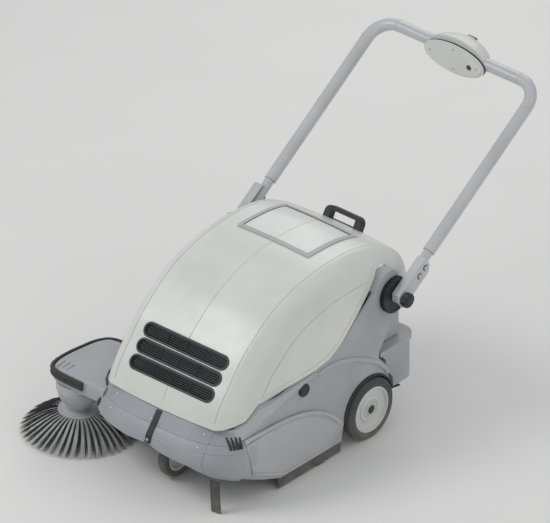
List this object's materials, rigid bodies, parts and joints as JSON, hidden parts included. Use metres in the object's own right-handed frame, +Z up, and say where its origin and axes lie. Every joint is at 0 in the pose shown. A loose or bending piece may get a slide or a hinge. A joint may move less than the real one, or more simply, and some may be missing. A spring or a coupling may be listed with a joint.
{
  "type": "walk behind sweeper",
  "caption": "Walk-behind floor sweeper with an arched hood, main broom, side brush on an arm, rear hopper and folding U handle.",
  "frame": {"origin": "on the floor, under the middle of the whole machine's box", "axes": "+Z up, the machine drives towards -Y, +X to the side away from the side brush"},
  "size_m": [0.774, 1.2812, 0.7864],
  "materials": {
    "hood_plastic": "semi gloss",
    "body_plastic": "fine grain",
    "tyre_rubber": "matt",
    "soft_rubber": "matt",
    "bristle": "bristle",
    "handle_steel": "powder coat",
    "plain_steel": "zinc plated",
    "rim_plastic": "moulded",
    "filter_paper": "pleated",
    "black_plastic": "fine grain"
  },
  "bodies": {
    "chassis": {"base_shell": "body_plastic", "front_bumper": "body_plastic", "bumper_strap": "black_plastic", "drag_strap": "soft_rubber", "rear_flap": "soft_rubber", "side_cover_right": "body_plastic", "side_cover_left": "body_plastic", "side_skirt_right": "soft_rubber", "side_skirt_left": "soft_rubber", "fender_lip_right": "soft_rubber", "fender_lip_left": "soft_rubber", "wheel_axle": "plain_steel", "caster_mount": "plain_steel", "broom_motor": "black_plastic", "battery_pack": "black_plastic", "vacuum_fan": "black_plastic", "dust_filter": "filter_paper", "drive_belt": "soft_rubber", "arm_gasket": "soft_rubber", "pivot_disc_right": "black_plastic", "pivot_disc_left": "black_plastic"},
    "hood": {"hood_shell": "hood_plastic", "vent_grille_lower": "black_plastic", "vent_grille_middle": "black_plastic", "vent_grille_upper": "black_plastic", "hatch_frame": "black_plastic", "rear_grip": "black_plastic"},
    "hatch": {"hatch_lid": "hood_plastic"},
    "latch_right": {"latch_knob_right": "black_plastic"},
    "latch_left": {"latch_knob_left": "black_plastic"},
    "hopper": {"hopper_bin": "body_plastic", "hopper_handle": "black_plastic"},
    "wheel_right": {"rear_tyre_right": "tyre_rubber", "rear_rim_right": "rim_plastic"},
    "wheel_left": {"rear_tyre_left": "tyre_rubber", "rear_rim_left": "rim_plastic"},
    "caster": {"caster_fork": "plain_steel"},
    "caster_wheel": {"caster_tyre": "tyre_rubber", "caster_rim": "rim_plastic"},
    "main_broom": {"broom_core": "plain_steel", "broom_bristles": "bristle", "broom_pulley": "plain_steel"},
    "motor_drive": {"motor_pulley": "plain_steel"},
    "brush_arm": {"side_brush_arm": "body_plastic", "arm_bumper": "soft_rubber", "side_brush_motor": "black_plastic", "arm_adjust_pin": "black_plastic"},
    "side_brush": {"side_brush_hub": "black_plastic", "side_brush_bristles": "bristle"},
    "handle": {"handle_tube": "handle_steel", "handle_bracket_right": "handle_steel", "handle_bracket_left": "handle_steel", "control_housing_front": "black_plastic", "control_housing_rear": "body_plastic"},
    "knob_right": {"clamp_knob_right": "black_plastic"},
    "knob_left": {"clamp_knob_left": "black_plastic"},
    "switch": {"power_switch": "black_plastic"}
  },
  "joints": [
    {"name": "hood_hinge", "type": "hinge", "parent": "chassis", "child": "hood", "pos_m": [0.085, -0.54065, 0.218], "axis": [1, 0, 0], "range_deg": [0, 55]},
    {"name": "hatch_hinge", "type": "hinge", "parent": "hood", "child": "hatch", "pos_m": [0.085, 0.05135, 0.493], "axis": [-1, 0, 0], "range_deg": [0, 80]},
    {"name": "latch_turn_right", "type": "hinge", "parent": "chassis", "child": "latch_right", "pos_m": [0.331, -0.28165, 0.25], "axis": [1, 0, 0], "range_deg": [0, 90]},
    {"name": "latch_turn_left", "type": "hinge", "parent": "chassis", "child": "latch_left", "pos_m": [-0.161, -0.28165, 0.25], "axis": [1, 0, 0], "range_deg": [0, 90]},
    {"name": "hopper_slide", "type": "slide", "parent": "chassis", "child": "hopper", "axis": [0, 1, 0], "range_m": [0, 0.28]},
    {"name": "wheel_roll_right", "type": "hinge", "parent": "chassis", "child": "wheel_right", "pos_m": [0.323, -0.03565, 0.083], "axis": [1, 0, 0], "continuous": true},
    {"name": "wheel_roll_left", "type": "hinge", "parent": "chassis", "child": "wheel_left", "pos_m": [-0.153, -0.03565, 0.083], "axis": [1, 0, 0], "continuous": true},
    {"name": "caster_swivel", "type": "hinge", "parent": "chassis", "child": "caster", "pos_m": [0.085, -0.50465, 0.12], "axis": [0, 0, 1], "continuous": true},
    {"name": "caster_roll", "type": "hinge", "parent": "caster", "child": "caster_wheel", "pos_m": [0.085, -0.48265, 0.057], "axis": [1, 0, 0], "continuous": true},
    {"name": "broom_spin", "type": "hinge", "parent": "chassis", "child": "main_broom", "pos_m": [0.085, -0.27065, 0.126], "axis": [1, 0, 0], "continuous": true},
    {"name": "motor_spin", "type": "hinge", "parent": "chassis", "child": "motor_drive", "pos_m": [-0.14875, -0.09565, 0.305], "axis": [1, 0, 0], "continuous": true},
    {"name": "arm_lift", "type": "hinge", "parent": "chassis", "child": "brush_arm", "pos_m": [-0.161, -0.43565, 0.198], "axis": [0, 1, 0], "range_deg": [0, 2.5]},
    {"name": "side_brush_spin", "type": "hinge", "parent": "brush_arm", "child": "side_brush", "pos_m": [-0.234, -0.48765, 0.07], "axis": [0, 0, 1], "continuous": true},
    {"name": "handle_fold", "type": "hinge", "parent": "chassis", "child": "handle", "pos_m": [0.085, 0.05235, 0.377], "axis": [-1, 0, 0], "range_deg": [-135, 15]},
    {"name": "clamp_turn_right", "type": "hinge", "parent": "handle", "child": "knob_right", "pos_m": [0.377, 0.05235, 0.377], "axis": [1, 0, 0], "range_deg": [0, 270]},
    {"name": "clamp_turn_left", "type": "hinge", "parent": "handle", "child": "knob_left", "pos_m": [-0.207, 0.05235, 0.377], "axis": [1, 0, 0], "range_deg": [0, 270]},
    {"name": "switch_press", "type": "slide", "parent": "handle", "child": "switch", "axis": [0, -1, 0], "range_m": [0, 0.003], "stiffness_N_per_m": 400}
  ],
  "couplings": [
    {"joint": "motor_spin", "follows": "broom_spin", "ratio": 2.3333}
  ]
}
